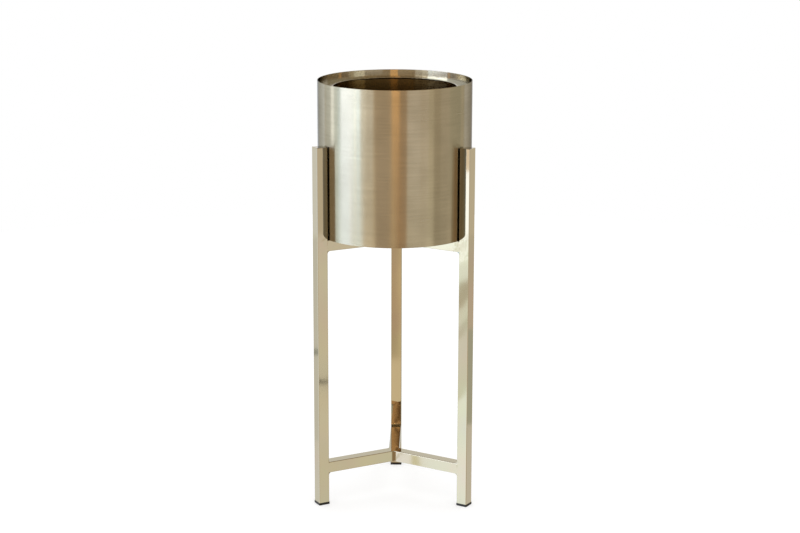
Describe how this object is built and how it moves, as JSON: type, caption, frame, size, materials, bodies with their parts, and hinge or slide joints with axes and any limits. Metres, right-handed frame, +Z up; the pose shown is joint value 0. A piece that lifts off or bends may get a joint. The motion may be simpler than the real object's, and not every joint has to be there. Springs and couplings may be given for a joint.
{
  "type": "plant stand",
  "caption": "Tripod plant stand of welded square metal tube that cradles a lift-out cylindrical metal planter with a recessed inner ledge ring.",
  "frame": {"origin": "point on the floor on the upright axis of the stand and the planter, midway between the three feet", "axes": "+Z up along the planter's axis; +Y towards the back leg; +X to the right when seen from the front, where the other two legs stand"},
  "size_m": [0.2294, 0.2379, 0.614],
  "materials": {
    "polished_plated_steel": "mirror-polished steel tube with a pale champagne-gold plating",
    "brushed_plated_steel": "sheet brushed round the planter, satin, champagne-gold tint",
    "black_plastic": "moulded, matt"
  },
  "bodies": {
    "stand": {"leg_back": "polished_plated_steel", "leg_left": "polished_plated_steel", "leg_right": "polished_plated_steel", "leg_cap_back": "polished_plated_steel", "leg_cap_left": "polished_plated_steel", "leg_cap_right": "polished_plated_steel", "foot_back": "black_plastic", "foot_left": "black_plastic", "foot_right": "black_plastic", "upper_bar_back": "polished_plated_steel", "upper_bar_left": "polished_plated_steel", "upper_bar_right": "polished_plated_steel", "lower_bar_back": "polished_plated_steel", "lower_bar_left": "polished_plated_steel", "lower_bar_right": "polished_plated_steel", "upper_leg_welds": "polished_plated_steel", "lower_leg_welds": "polished_plated_steel", "upper_hub_welds": "polished_plated_steel", "lower_hub_welds": "polished_plated_steel"},
    "planter": {"planter_shell": "brushed_plated_steel", "planter_ledge_ring": "brushed_plated_steel", "planter_base": "brushed_plated_steel"}
  },
  "joints": [
    {"name": "planter_lift", "type": "slide", "parent": "stand", "child": "planter", "axis": [0, 0, 1], "range_m": [0, 0.14]}
  ]
}
